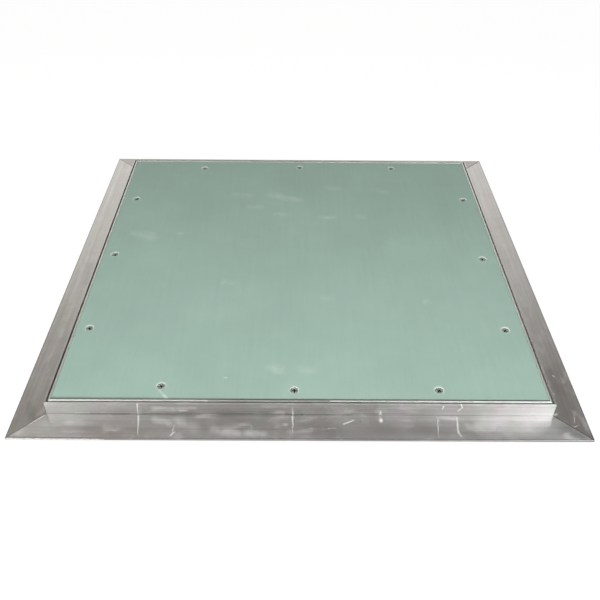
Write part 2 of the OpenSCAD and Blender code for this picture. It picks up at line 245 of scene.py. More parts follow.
LEFT_MARKS = on_level(
    FLANGE_FACE,
    (-201.5, -202, -211, -211.4, 1.3, 0.4, 0.9),
    (-211, -150, -212, -154, 1.2, 0.9, 0.5),
    (-214, -96, -213, -92, 1, 0.7, 0.4),
)
LEFT_RUBS = on_level(
    FLANGE_FACE,
    (-207, 20, -209, 34, 5, 4, 0.3),
    (-210, -60, -213, -84, 8, 7, 0.24),
    (-214, -180, -209, -160, 7, 6, 0.2),
    (-211, 100, -214, 128, 7, 6, 0.2),
)
LEFT_DIRT = on_level(
    FLANGE_FACE,
    (-209, -206, -216, -190, 10, 8, 0.18),
    (-208, -30, -210, 0, 8, 10, 0.12),
)
# Painted shade along the inner side of the door's front rim, in the seam beside the board.
DOOR_SEAM_SHADE = [
    ((-196.5, -197.4, 35.3), (196.5, -197.4, 35.3), 1.3, 1.3, 0.9),
    ((-72, -196.6, 36.4), (22, -196.6, 36.4), 1.9, 1.9, 0.45),
]
# Dust and painted shade in the seam between the board and its front rim.
BOARD_SEAM = [
    ((-195, -195, 35.8), (-60, -195, 35.8), 4.6, 3, 0.7),
    ((-60, -195, 35.8), (195, -195, 35.8), 2.6, 2.2, 0.85),
]
BOARD_MARKS = on_level(
    BOARD_FACE,
    (-111.9, -186, -104.6, -194.9, 2, 3, 1.7),
    (-62, -171, -59.8, -171.2, 1.6, 1.4, 1.2),
)
BOARD_RUBS = on_level(
    BOARD_FACE,
    (-172, 40, -154, 34, 12, 18, 0.62),
    (-70, 118, -58, 116, 14, 16, 0.36),
    (-30, 118, -2, 107, 18, 13, 0.58),
    (-54, 92, -44, 92, 14, 12, 0.36),
    (-25, 77, -17, 78, 10, 12, 0.36),
    (24, 73, 36, 73, 10, 10, 0.6),
    (62, 74, 70, 74, 10, 10, 0.38),
    (34, 135, 44, 134, 12, 12, 0.42),
    (90, 130, 98, 128, 12, 12, 0.36),
    (-127, 38, -123, 38, 8, 7, 0.4),
    (-72, -44, -64, -45, 10, 10, 0.42),
    (20, -66, 26, -67, 8, 10, 0.36),
    (114, -74, 118, -74, 8, 8, 0.39),
    (-24, -160, -16, -163, 12, 12, 0.52),
    (2, -161, 10, -162, 12, 10, 0.42),
)


class HatchMetal(bpy.types.PropertyGroup):
    """Finish of the extruded aluminium rails."""

    frame_colour: colour_setting("Frame colour", "Mill-finish aluminium of the outer frame", "#D0D0D0")
    # Painted highlight: much lighter than the frame's aluminium, so that the door's rims show pale.
    door_colour: colour_setting("Door rim colour", "Mill-finish aluminium of the door's rails", "#F4F4F3")
    # Also the colour of the painted shade in the frame's inner corner and along its flange's outer edge.
    grime_and_shade_colour: colour_setting("Grime", "Dark oxide and dirt in the corner and the mitres", "#55524F")
    scratch_and_highlight_colour: colour_setting("Scratch colour", "Bare metal in a scratch", "#F2F0EE")
    # Also the colour of the painted highlights and the painted light strip among the marks.
    roughness: number_setting("Roughness", "Mean roughness of the drawn surface", 0, 1, 0.30)
    stretch: number_setting("Stretch", "How far reflections spread across the draw lines", 0, 1, 0.88)
    line_mm: number_setting("Draw lines", "Width of a draw line left by the die, in mm", 0.1, 2, 0.6)


class HatchBoard(bpy.types.PropertyGroup):
    """Finish of the moisture-resistant plasterboard."""

    face_colour: colour_setting("Face paper", "Green face paper of moisture-resistant board", "#98B1A6")
    back_colour: colour_setting("Back paper", "Grey-brown back paper", "#A79F93")
    core_colour: colour_setting("Core", "Gypsum core at the cut edges", "#DAD6CD")
    seam_colour: colour_setting("Seam", "Dust and shadow between the board and its front rim", "#4A524C")
    fuzz_colour: colour_setting("Torn paper", "Torn fibre round the screw heads", "#BCCCC3")
    paper_mm: number_setting("Paper", "Thickness of the paper on the core, in mm", 0.2, 1, 0.4)
    fibre_mm: number_setting("Fibre", "Size of the paper's felt pattern, in mm", 0.2, 3, 0.9)


class HatchScrews(bpy.types.PropertyGroup):
    """Form and finish of the drywall screws."""

    pitch: number_setting("Pitch", "Thread pitch of the drywall screws, in mm", 0.8, 3, 1.4)
    core: number_setting("Core", "Core diameter as a share of the shank's", 0.5, 0.9, 0.68)
    recess_mm: number_setting("Recess", "Span of the cross recess, in mm", 2, 6, 4.6)
    # The grey patch on the heads is a painted reflection.
    sheen_mm: number_setting("Worn", "Span of the grey patch that the bit has rubbed, in mm", 2, 8, 5.4)
    sink_mm: number_setting("Sink", "How far the heads are pulled in under the CAD's, in mm", 0, 0.4, 0.3)
    colour: colour_setting("Phosphate", "Black phosphate coat of the drywall screws", "#222726")
    sheen_colour: colour_setting("Worn steel", "Grey of the coat where the bit has rubbed it", "#9AA59F")


class HatchStage(bpy.types.PropertyGroup):
    """Camera and floor."""

    eye: bpy.props.FloatVectorProperty(
        name="Eye", description="Place of the camera", size=3, subtype="TRANSLATION", unit="LENGTH",
        default=(-0.0046, -0.5856, 0.4490),
    )
    pitch: bpy.props.FloatProperty(
        name="Pitch", description="Tilt of the camera under the horizon", subtype="ANGLE",
        unit="ROTATION", default=math.radians(38.70),
    )
    yaw: bpy.props.FloatProperty(
        name="Yaw", description="Turn of the camera to the right", subtype="ANGLE", unit="ROTATION",
        default=math.radians(0.48),
    )
    roll: bpy.props.FloatProperty(
        name="Roll", description="Turn of the picture clockwise", subtype="ANGLE", unit="ROTATION",
        default=math.radians(0.61),
    )
    lens: number_setting("Lens", "Focal length on a 36 mm sensor, in mm", 10, 200, 43.1)
    floor_colour: colour_setting("Floor", "Pale floor and backdrop", "#F6F6F6")


def feed(node, inputs):
    """Gives a node's sockets their values, or links them to the sockets that feed them."""
    for name, value in inputs.items():
        if isinstance(value, bpy.types.NodeSocket):
            node.id_data.links.new(value, node.inputs[name])
        else:
            node.inputs[name].default_value = value


def add(tree, kind, inputs=None, out=0, **settings):
    """Adds a node and gives one output. Settings are the node's properties, and inputs feed its sockets."""
    made = tree.nodes.new("ShaderNode" + kind)
    for name, value in settings.items():
        setattr(made, name, value)
    feed(made, inputs or {})
    return made.outputs[out]


# What makes a Mix node blend colours: its data type and its third output.
OF_COLOURS = {"out": 2, "data_type": "RGBA"}


def blank_material(name):
    """A new material with its node tree and its surface shader."""
    material = bpy.data.materials.new(name)
    material.use_nodes = True
    shader = material.node_tree.nodes["Principled BSDF"]
    return material, material.node_tree, shader


def stroke_mask(tree, place, marks, wander_mm=1.6, ripple_mm=3.5, core=0.1):
    """Mask of strokes of wear, dirt and painted light, each full over a core share of its width, with
    wandering edges.
    """
    wander = add(
        tree, "TexNoise",
        {"Vector": place, "Scale": per_metre(ripple_mm), "Detail": 3.0, "Roughness": 0.65}, out="Color",
    )
    wander = add(tree, "VectorMath", {0: wander, 1: (0.5, 0.5, 0.5)}, out="Vector", operation="SUBTRACT")
    wander = add(
        tree, "VectorMath", {0: wander, "Scale": wander_mm * MM}, out="Vector", operation="SCALE",
    )
    place = add(tree, "VectorMath", {0: place, 1: wander}, out="Vector", operation="ADD")
    fade = 0.7 * MM
    mask = None
    for start, end, wide_start, wide_end, strength in marks:
        a, b = Vector(start) * MM, Vector(end) * MM
        run = b - a
        from_a = add(tree, "VectorMath", {0: place, 1: a}, out="Vector", operation="SUBTRACT")
        dot = add(
            tree, "VectorMath", {0: from_a, 1: run / run.length_squared}, out="Value",
            operation="DOT_PRODUCT",
        )
        share = add(tree, "Clamp", {"Value": dot})
        foot = add(tree, "VectorMath", {0: run, "Scale": share}, out="Vector", operation="SCALE")
        gap = add(tree, "VectorMath", {0: from_a, 1: foot}, out="Value", operation="DISTANCE")
        half = add(
            tree, "MapRange", {"Value": share, "To Min": wide_start * fade, "To Max": wide_end * fade},
        )
        full = min(wide_start, wide_end) * core * MM
        stroke = add(
            tree, "MapRange",
            {"Value": gap, "From Min": full, "From Max": half, "To Min": strength, "To Max": 0.0},
            interpolation_type="SMOOTHSTEP",
        )
        mask = stroke if mask is None else add(tree, "Math", {0: mask, 1: stroke}, operation="MAXIMUM")
    return mask


def line_mask(tree, outward, height, line, full_mm, fade_mm, strength):
    """Mask along a line that runs round the hatch at a distance from its middle and a height."""
    across = add(tree, "Math", {0: outward, 1: line[0] * MM}, operation="SUBTRACT")
    above = add(tree, "Math", {0: height, 1: line[1] * MM}, operation="SUBTRACT")
    apart = add(tree, "CombineXYZ", {0: across, 1: above})
    gap = add(tree, "VectorMath", {0: apart}, out="Value", operation="LENGTH")
    return add(
        tree, "MapRange",
        {
            "Value": gap, "From Min": full_mm * MM, "From Max": fade_mm * MM, "To Min": strength,
            "To Max": 0.0,
        },
        interpolation_type="SMOOTHSTEP",
    )


def mill_aluminium(
    name, colour, run, marks=(), rubs=(), dirt=(), outer=True, duller=0.0, aged=(0.79, 0.76, 0.75),
):
    """Mill-finish aluminium, drawn through a die: lines along its run that are drawn a little coarser than
    the real ones, dull soft reflections that spread across them, and a thin uneven oxide that clouds them,
    coloured by aged where it is thickest. Grime lies in the mitres, and on an outer rail painted shade
    darkens its inner corner and its outer edge. The given marks and dirt also hold painted highlights and
    painted shade."""
    metal = bpy.context.scene.hatch_metal
    material, tree, shader = blank_material(name)
    place = add(tree, "TexCoord", out="Object")
    parts = add(tree, "SeparateXYZ", {0: place}).node.outputs
    side_x = add(tree, "Math", {0: parts["X"]}, operation="ABSOLUTE")
    side_y = add(tree, "Math", {0: parts["Y"]}, operation="ABSOLUTE")
    outward = add(tree, "Math", {0: side_x, 1: side_y}, operation="MAXIMUM")
    axis = 0 if run == "x" else 1
    rough = metal.roughness + duller
    cloud_mm, stain_mm = 26, 14

    def drawn(along_mm, across_mm):
        """Place for a pattern whose features are this long along the rail and this wide across it."""
        scale = [per_metre(across_mm)] * 3
        scale[axis] = per_metre(along_mm)
        return add(tree, "Mapping", {"Vector": place, "Scale": scale})

    lines = add(
        tree, "TexNoise",
        {"Vector": drawn(220, metal.line_mm), "Scale": 1.0, "Detail": 3.0, "Roughness": 0.75}, out="Fac",
    )
    bands = add(
        tree, "TexNoise", {"Vector": drawn(160, 3.2), "Scale": 1.0, "Detail": 3.0, "Roughness": 0.6},
        out="Fac",
    )
    cloud = add(
        tree, "TexNoise",
        {
            "Vector": place, "Scale": per_metre(cloud_mm), "Detail": 5.0, "Roughness": 0.62,
            "Distortion": 0.4,
        },
        out="Fac",
    )
    patch = add(
        tree, "TexNoise",
        {"Vector": drawn(17, 7), "Scale": 1.0, "Detail": 2.0, "Roughness": 0.45, "Distortion": 0.3},
        out="Fac",
    )
    patch = add(
        tree, "MapRange", {"Value": patch, "From Min": 0.55, "From Max": 0.75, "To Max": 0.24},
        interpolation_type="SMOOTHSTEP",
    )
    wear_and_highlights = patch
    if marks:
        strokes = stroke_mask(tree, place, marks)
        wear_and_highlights = add(tree, "Math", {0: wear_and_highlights, 1: strokes}, operation="MAXIMUM")
    if rubs:
        grain = add(tree, "Math", {0: cloud, 1: lines}, operation="ADD")
        grain = add(tree, "MapRange", {"Value": grain, "From Min": 0.75, "From Max": 1.2})
        soft = stroke_mask(tree, place, rubs, wander_mm=5.0, ripple_mm=7.0, core=0.0)
        soft = add(tree, "Math", {0: soft, 1: grain}, operation="MULTIPLY")
        wear_and_highlights = add(tree, "Math", {0: wear_and_highlights, 1: soft}, operation="MAXIMUM")

    tone = 0.0
    for pattern, weight in ((lines, 0.50), (bands, 0.40), (cloud, 0.40)):
        tone = add(tree, "Math", {0: pattern, 1: weight, 2: tone}, operation="MULTIPLY_ADD")
    tone = add(tree, "MapRange", {"Value": tone, "From Min": 0.45, "From Max": 0.85})
    warm = shade(colour, aged)
    cool = shade(colour, (1.13, 1.16, 1.16))
    drawn_colour = add(tree, "Mix", {0: tone, 6: warm, 7: cool}, **OF_COLOURS)
    hue = add(
        tree, "TexNoise",
        {"Vector": place, "Scale": per_metre(stain_mm), "Detail": 2.0, "Roughness": 0.5}, out="Fac",
    )
    hue = add(tree, "MapRange", {"Value": hue, "From Min": 0.35, "From Max": 0.65})
    stain = add(
        tree, "Mix", {0: hue, 6: (1.0, 0.96, 0.965, 1.0), 7: (0.965, 0.98, 0.94, 1.0)}, **OF_COLOURS,
    )
    drawn_colour = add(
        tree, "Mix", {0: 1.0, 6: drawn_colour, 7: stain}, **OF_COLOURS, blend_type="MULTIPLY",
    )
    # Scratches and rubs take the bright colour here, and so do the painted highlights.
    rubbed = add(tree, "Mix", {0: wear_and_highlights, 6: drawn_colour, 7: shade(metal.scratch_and_highlight_colour)}, **OF_COLOURS)
    mitre = add(tree, "Math", {0: side_x, 1: side_y}, operation="SUBTRACT")
    mitre = add(tree, "Math", {0: mitre}, operation="ABSOLUTE")
    grime_and_shade = add(
        tree, "MapRange",
        {"Value": mitre, "From Min": 0.2 * MM, "From Max": 0.8 * MM, "To Min": 0.3, "To Max": 0.0},
    )
    # Painted shade: dark lines in the inner corner between upright and flange, and along the flange's outer
    # edge.
    if outer:
        corner_shade = line_mask(tree, outward, parts["Z"], (UPRIGHT, FLANGE_FACE), 0.2, 0.7, 0.25)
        edge = line_mask(tree, outward, parts["Z"], (FLANGE_EDGE, FLANGE_FACE - 0.6), 0.9, 1.4, 0.5)
        for more in (corner_shade, edge):
            grime_and_shade = add(tree, "Math", {0: grime_and_shade, 1: more}, operation="MAXIMUM")
    if dirt:
        spread = stroke_mask(tree, place, dirt, wander_mm=0.8, ripple_mm=6.0, core=0.05)
        grime_and_shade = add(tree, "Math", {0: grime_and_shade, 1: spread}, operation="MAXIMUM")
    clean = add(tree, "Math", {0: wear_and_highlights, 1: -0.85, 2: 1.0}, operation="MULTIPLY_ADD")
    grime_and_shade = add(tree, "Math", {0: grime_and_shade, 1: clean}, operation="MULTIPLY")
    soiled = add(tree, "Mix", {0: grime_and_shade, 6: rubbed, 7: shade(metal.grime_and_shade_colour)}, **OF_COLOURS)
    dull = add(
        tree, "MapRange",
        {
            "Value": cloud, "From Min": 0.3, "From Max": 0.7, "To Min": rough - 0.01,
            "To Max": rough + 0.05,
        },
    )
    dull = add(tree, "Mix", {0: wear_and_highlights, 2: dull, 3: 0.62})
    height = add(tree, "Math", {0: lines, 1: 0.7, 2: 0.0}, operation="MULTIPLY_ADD")
    height = add(tree, "Math", {0: wear_and_highlights, 1: -0.8, 2: height}, operation="MULTIPLY_ADD")
    bump = add(tree, "Bump", {"Height": height, "Distance": 0.03 * MM, "Strength": 0.6})
    length = add(tree, "CombineXYZ", {axis: 1.0})
    tangent = add(
        tree, "VectorTransform", {0: length}, vector_type="VECTOR", convert_from="OBJECT",
        convert_to="WORLD",
    )
    bare = add(tree, "Math", {0: wear_and_highlights, 1: -0.45, 2: 1.0}, operation="MULTIPLY_ADD")
    feed(shader, {"Base Color": soiled, "Metallic": bare, "Roughness": dull, "Normal": bump})
    feed(shader, {"Tangent": tangent, "Anisotropic": metal.stretch, "Anisotropic Rotation": 0.25})
    return material


def green_board(name):
    """Moisture-resistant plasterboard: matt felted green paper on a pale gypsum core, grey behind."""
    board = bpy.context.scene.hatch_board
    material, tree, shader = blank_material(name)
    place = add(tree, "TexCoord", out="Object")
    height_up = add(tree, "SeparateXYZ", {0: place}, out="Z")
    face_z = BOARD_HIGH.z - board.paper_mm * MM
    back_z = BOARD_LOW.z + board.paper_mm * MM
    soft = 0.05 * MM
    mottle_mm, scuff_mm, grit_mm = 55, 9, 1.6
    on_face = add(
        tree, "MapRange", {"Value": height_up, "From Min": face_z - soft, "From Max": face_z + soft},
    )
    on_back = add(
        tree, "MapRange",
        {
            "Value": height_up, "From Min": back_z - soft, "From Max": back_z + soft, "To Min": 1.0,
            "To Max": 0.0,
        },
    )
    mottle = add(
        tree, "TexNoise",
        {"Vector": place, "Scale": per_metre(mottle_mm), "Detail": 6.0, "Roughness": 0.6}, out="Fac",
    )
    web = add(tree, "Mapping", {"Vector": place, "Scale": (per_metre(4), per_metre(60), per_metre(4))})
    streak = add(tree, "TexNoise", {"Vector": web, "Scale": 1.0, "Detail": 3.0}, out="Fac")
    felt = add(
        tree, "TexNoise",
        {"Vector": place, "Scale": per_metre(board.fibre_mm), "Detail": 3.0, "Roughness": 0.6}, out="Fac",
    )
    tone = 0.0
    for pattern, weight in ((mottle, 0.5), (streak, 0.2), (felt, 0.3)):
        tone = add(tree, "Math", {0: pattern, 1: weight, 2: tone}, operation="MULTIPLY_ADD")
    tone = add(tree, "MapRange", {"Value": tone, "From Min": 0.3, "From Max": 0.7})
    face = board.face_colour
    paper = add(tree, "Mix", {0: tone, 6: shade(face, 0.90), 7: shade(face, 1.09)}, **OF_COLOURS)
    patch = add(
        tree, "TexNoise",
        {"Vector": place, "Scale": per_metre(scuff_mm), "Detail": 4.0, "Roughness": 0.7}, out="Fac",
    )
    patch = add(tree, "MapRange", {"Value": patch, "From Min": 0.30, "From Max": 0.66})
    rubs = stroke_mask(tree, place, BOARD_RUBS, wander_mm=14.0, ripple_mm=22.0, core=0.0)
    rubs = add(tree, "Math", {0: rubs, 1: stroke_mask(tree, place, BOARD_MARKS)}, operation="MAXIMUM")
    rubs = add(tree, "Math", {0: rubs, 1: patch}, operation="MULTIPLY")
    paper = add(tree, "Mix", {0: rubs, 6: paper, 7: shade(board.fuzz_colour)}, **OF_COLOURS)
    grit = add(
        tree, "TexNoise", {"Vector": place, "Scale": per_metre(grit_mm), "Detail": 4.0, "Roughness": 0.7},
        out="Fac",
    )
    core = board.core_colour
    gypsum = add(tree, "Mix", {0: grit, 6: shade(core, 0.8), 7: shade(core, 1.1)}, **OF_COLOURS)
    back = board.back_colour
    grey = add(tree, "Mix", {0: tone, 6: shade(back, 0.88), 7: shade(back, 1.08)}, **OF_COLOURS)
    colour = add(tree, "Mix", {0: on_face, 6: gypsum, 7: paper}, **OF_COLOURS)
    colour = add(tree, "Mix", {0: on_back, 6: colour, 7: grey}, **OF_COLOURS)
    # Dust and painted shade along the board's front edge, by the rim.
    seam = stroke_mask(tree, place, BOARD_SEAM, wander_mm=0.8, ripple_mm=6.0, core=0.05)
    colour = add(tree, "Mix", {0: seam, 6: colour, 7: shade(board.seam_colour)}, **OF_COLOURS)
    relief = add(tree, "Math", {0: mottle, 1: 3.0, 2: felt}, operation="MULTIPLY_ADD")
    bump = add(tree, "Bump", {"Height": relief, "Distance": 0.06 * MM, "Strength": 0.7})
    feed(shader, {"Base Color": colour, "Normal": bump, "Roughness": 0.82, "Specular IOR Level": 0.3})
    return material


def torn_paper(name):
    """Face paper torn by a screw head: rough pale fibres on the sheet, drawn coarser so that they show, and
    gypsum dust in the pit."""
    board = bpy.context.scene.hatch_board
    material, tree, shader = blank_material(name)
    place = add(tree, "TexCoord", out="Object")
    fibre = add(
        tree, "TexNoise", {"Vector": place, "Scale": per_metre(0.7), "Detail": 4.0, "Roughness": 0.7},
        out="Fac",
    )
    fuzz, dust = board.fuzz_colour, linear("#DAE5DE")
    pit, sheet = BOARD_HIGH.z - 0.3 * MM, BOARD_HIGH.z - 0.02 * MM
    colour = add(
        tree, "Mix", {0: fibre, 6: shade(board.face_colour, 0.95), 7: shade(fuzz, 0.95)}, **OF_COLOURS,
    )
    height_up = add(tree, "SeparateXYZ", {0: place}, out="Z")
    inside = add(
        tree, "MapRange",
        {"Value": height_up, "From Min": pit, "From Max": sheet, "To Min": 0.9, "To Max": 0.0},
    )
    colour = add(tree, "Mix", {0: inside, 6: colour, 7: shade(dust)}, **OF_COLOURS)
    bump = add(tree, "Bump", {"Height": fibre, "Distance": 0.15 * MM})
    feed(shader, {"Base Color": colour, "Normal": bump, "Roughness": 0.95, "Specular IOR Level": 0.2})
    return material


def phosphated_steel(name, heads):
    """Phosphated steel: near black and crystalline, with a mottled grey painted reflection on the top of
    each head. The crystals are drawn coarser than the real ones, so that they show."""
    form = bpy.context.scene.hatch_screws
    crystal_mm = 1.1
    material, tree, shader = blank_material(name)
    place = add(tree, "TexCoord", out="Object")
    crystal = add(
        tree, "TexNoise",
        {"Vector": place, "Scale": per_metre(crystal_mm), "Detail": 3.0, "Roughness": 0.6}, out="Fac",
    )
    crystal = add(tree, "MapRange", {"Value": crystal, "From Min": 0.35, "From Max": 0.65})
    height_up = add(tree, "SeparateXYZ", {0: place}, out="Z")
    top = heads[0].z
    on_top = add(
        tree, "MapRange", {"Value": height_up, "From Min": top - 0.5 * MM, "From Max": top - 0.2 * MM},
    )
    # Painted reflection: a mottled grey patch on the top of each head, lighter than the black coat.
    span = form.sheen_mm
    sheen_spots = [(head / MM, head / MM + Vector((0.1, 0, 0)), span, span, 1.0) for head in heads]
    turned = stroke_mask(tree, place, sheen_spots, wander_mm=0.9, ripple_mm=1.5, core=0.45)
    scuff_and_painted_light = add(tree, "Math", {0: turned, 1: on_top}, operation="MULTIPLY")
    black, grey = form.colour, form.sheen_colour
    coat = add(tree, "Mix", {0: crystal, 6: shade(black, 0.7), 7: shade(black, 1.5)}, **OF_COLOURS)
    steel = add(tree, "Mix", {0: crystal, 6: shade(grey, 0.35), 7: shade(grey, 1.7)}, **OF_COLOURS)
    colour = add(tree, "Mix", {0: scuff_and_painted_light, 6: coat, 7: steel}, **OF_COLOURS)
    dull = add(tree, "MapRange", {"Value": crystal, "To Min": 0.3, "To Max": 0.5})
    bump = add(tree, "Bump", {"Height": crystal, "Distance": 0.05 * MM})
    feed(shader, {"Base Color": colour, "Roughness": dull, "Normal": bump, "Metallic": 0.5})
    return material


def plated_steel(name, code, spangle_mm, dull_from, dull_to):
    """Steel under zinc or nickel, or turned bright: grey metal, clouded in patches of spangle_mm, with
    roughness between the two given. Its fine grain is drawn coarser than it is, so that it shows."""
    grain_mm = 0.8
    material, tree, shader = blank_material(name)
    place = add(tree, "TexCoord", out="Object")
    cells = add(
        tree, "TexVoronoi", {"Vector": place, "Scale": per_metre(spangle_mm)}, out="Distance",
        feature="SMOOTH_F1",
    )
    grain = add(
        tree, "TexNoise", {"Vector": place, "Scale": per_metre(grain_mm), "Detail": 3.0}, out="Fac",
    )
    base = linear(code)
    tone = add(tree, "Math", {0: cells, 1: grain}, operation="MULTIPLY")
    colour = add(tree, "Mix", {0: tone, 6: shade(base, 1.1), 7: shade(base, 0.6)}, **OF_COLOURS)
    dull = add(tree, "MapRange", {"Value": grain, "To Min": dull_from, "To Max": dull_to})
    bump = add(tree, "Bump", {"Height": grain, "Distance": 0.01 * MM})
    feed(shader, {"Base Color": colour, "Roughness": dull, "Normal": bump, "Metallic": 1.0})
    return material


def moulded_plastic(name, code, dull):
    """Injection-moulded plastic with a spark-eroded mould's grain, drawn coarser so that it shows."""
    grain_mm = 0.35
    material, tree, shader = blank_material(name)
    place = add(tree, "TexCoord", out="Object")
    grain = add(
        tree, "TexNoise", {"Vector": place, "Scale": per_metre(grain_mm), "Detail": 2.0}, out="Fac",
    )
    base = linear(code)
    colour = add(tree, "Mix", {0: grain, 6: shade(base, 0.95), 7: shade(base, 1.04)}, **OF_COLOURS)
    bump = add(tree, "Bump", {"Height": grain, "Distance": 0.02 * MM})
    feed(shader, {"Base Color": colour, "Normal": bump, "Roughness": dull, "IOR": 1.49})
    return material


def dress(material, *nodes):
    """Gives CAD nodes their finish."""
    for name in nodes:
        slots = NODES[name].data.materials
        slots.clear()
        slots.append(material)


def scene_object(name, data):
    """A new object in the scene that shows a mesh, a lamp or a camera."""
    made = bpy.data.objects.new(name, data)
    bpy.context.scene.collection.objects.link(made)
    return made


def mesh_object(name, mesh, material, body):
    """Turns a bmesh into a piece that rides on a body."""
    data = bpy.data.meshes.new(name)
    mesh.to_mesh(data)
    mesh.free()
    data.materials.append(material)
    made = scene_object(name, data)
    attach(made, body)
    return made


def solids_of(node):
    """Lowest and highest corner of each separate solid of a CAD node, ordered by place."""
    mesh = bmesh.new()
    mesh.from_mesh(NODES[node].data)
    bmesh.ops.remove_doubles(mesh, verts=mesh.verts, dist=0.001 * MM)
    seen = set()
    found = []
    for first in mesh.verts:
        if first.index in seen:
            continue
        seen.add(first.index)
        stack = [first]
        group = []
        while stack:
            vertex = stack.pop()
            group.append(vertex.co.copy())
            for edge in vertex.link_edges:
                other = edge.other_vert(vertex)
                if other.index not in seen:
                    seen.add(other.index)
                    stack.append(other)
        low = Vector([min(p[i] for p in group) for i in range(3)])
        high = Vector([max(p[i] for p in group) for i in range(3)])
        found.append((low, high))
    mesh.free()
    return sorted(found, key=lambda box: (round(box[0].x, 4), round(box[0].y, 4)))


def ring_strip(mesh, rings, closed_ends=True):
    """Joins rings of equal count into a skin, and caps the first and last ring."""
    made = [[mesh.verts.new(p) for p in ring] for ring in rings]
    count = len(made[0])
    for low, high in zip(made, made[1:]):
        for i in range(count):
            j = (i + 1) % count
            mesh.faces.new((low[i], low[j], high[j], high[i]))
    if closed_ends:
        mesh.faces.new(list(reversed(made[0])))
        mesh.faces.new(made[-1])


def threaded_rings(length, outer, core, pitch, point, count):
    """Rings of a right-handed screw thread from z = -length up to z = 0, the lowest of them its point."""
    rings = []
    rings_a_turn, flank, tip = 7, 3.4, 0.04
    steps = max(8, round(length / pitch * rings_a_turn))
    for k in range(steps + 1):
        z = -length + length * k / steps
        taper = min(1.0, (z + length) / point) if point else 1.0
        ring = []
        for i in range(count):
            turn = i / count
            phase = (z / pitch - turn) % 1.0
            ridge = max(0.0, 1.0 - abs(phase - 0.5) * flank)
            radius = (core + (outer - core) * ridge) * max(tip, taper)
            ring.append((radius * math.cos(2 * math.pi * turn), radius * math.sin(2 * math.pi * turn), z))
        rings.append(ring)
    return rings


def cross_cutter(span, width, depth):
    """A cross-recess bit: two tapered blades through the screw's axis, a little above the head."""
    mesh = bmesh.new()
    above = 0.2 * MM
    for quarter in (0, 1):
        turn = Matrix.Rotation(quarter * math.pi / 2, 4, "Z")
        corners = []
        for z, share, wide in ((above, 1.0, 1.0), (-depth, 0.42, 0.62)):
            x, y = span / 2 * share, width / 2 * wide
            corners.append([mesh.verts.new(turn @ Vector((sx * x, sy * y, z))) for sx, sy in SQUARE])
        top, bottom = corners
        mesh.faces.new(top)
        mesh.faces.new(list(reversed(bottom)))
        for i in range(4):
            j = (i + 1) % 4
            mesh.faces.new((top[i], bottom[i], bottom[j], top[j]))
    return mesh


def screw_mesh(head_rings, thread_rings, span, width, depth):
    """One screw with its head's top at z = 0: thread, head and cross recess as one closed skin."""
    body = bmesh.new()
    ring_strip(body, thread_rings + head_rings)
    blank = bpy.data.meshes.new("screw_blank")
    body.to_mesh(blank)
    body.free()
    bit = bpy.data.meshes.new("screw_bit")
    cutter = cross_cutter(span, width, depth)
    bmesh.ops.recalc_face_normals(cutter, faces=cutter.faces)
    cutter.to_mesh(bit)
    cutter.free()
    screw = scene_object("screw_blank", blank)
    tool = scene_object("screw_bit", bit)
    cut = screw.modifiers.new("recess", "BOOLEAN")
    cut.object = tool
    cut.operation = "DIFFERENCE"
    cut.solver = "EXACT"
    cut.use_self = True
    graph = bpy.context.evaluated_depsgraph_get()
    result = bmesh.new()
    result.from_object(screw, graph)
    bpy.data.objects.remove(screw)
    bpy.data.objects.remove(tool)
    return result


def copies(source, places):
    """Copies of one bmesh at each matrix, in one new bmesh."""
    data = bpy.data.meshes.new("copied")
    source.to_mesh(data)
    source.free()
    joined = bmesh.new()
    for place in places:
        start = len(joined.verts)
        joined.from_mesh(data)
        joined.verts.ensure_lookup_table()
        bmesh.ops.transform(joined, matrix=place, verts=joined.verts[start:])
    bpy.data.meshes.remove(data)
    return joined


def circle(radius, z, count):
    """Points of a ring round the Z axis."""
    return [
        (radius * math.cos(2 * math.pi * i / count), radius * math.sin(2 * math.pi * i / count), z)
        for i in range(count)
    ]


class HATCH_OT_outer_frame(bpy.types.Operator):
    """Finishes the four rails of the outer frame, each with its draw lines along its own length"""

    bl_idname = "hatch.outer_frame"
    bl_label = "Outer frame"

    def execute(self, context):
        colour = context.scene.hatch_metal.frame_colour
        for side, run, plain_or_lit_colour, scuff_and_painted_light in (
            ("front", "x", colour, (FRONT_MARKS_AND_HIGHLIGHTS, FRONT_RUBS, FRONT_DIRT_AND_SHADE)),
            ("right", "y", colour, (RIGHT_MARKS_AND_LIT_STRIP, RIGHT_RUBS, RIGHT_DIRT)),
            # Painted reflection: the back rail is a quarter lighter than the others, for the bright horizon
            # it reflects.
            ("back", "x", shade(colour, 1.25), ((), (), BACK_DIRT)),
            ("left", "y", colour, (LEFT_MARKS, LEFT_RUBS, LEFT_DIRT)),
        ):
            dress(mill_aluminium(f"mill_aluminium_frame_{side}", plain_or_lit_colour, run, *scuff_and_painted_light), f"frame_rail_{side}")
        return {"FINISHED"}


class HATCH_OT_door_frame(bpy.types.Operator):
    """Finishes the four rails of the door frame"""

    bl_idname = "hatch.door_frame"
    bl_label = "Door frame"

    def execute(self, context):
        colour = context.scene.hatch_metal.door_colour
        # The door's rails use a lighter copy of the aluminium, a painted highlight on the rims.
        finish = {"outer": False, "duller": 0.25, "aged": (0.86, 0.93, 0.89)}
        across = mill_aluminium("mill_aluminium_door_x", colour, "x", dirt=DOOR_SEAM_SHADE, **finish)
        along = mill_aluminium("mill_aluminium_door_y", colour, "y", **finish)
        dress(across, "door_rail_front", "door_rail_back")
        dress(along, "door_rail_right", "door_rail_left")
        return {"FINISHED"}


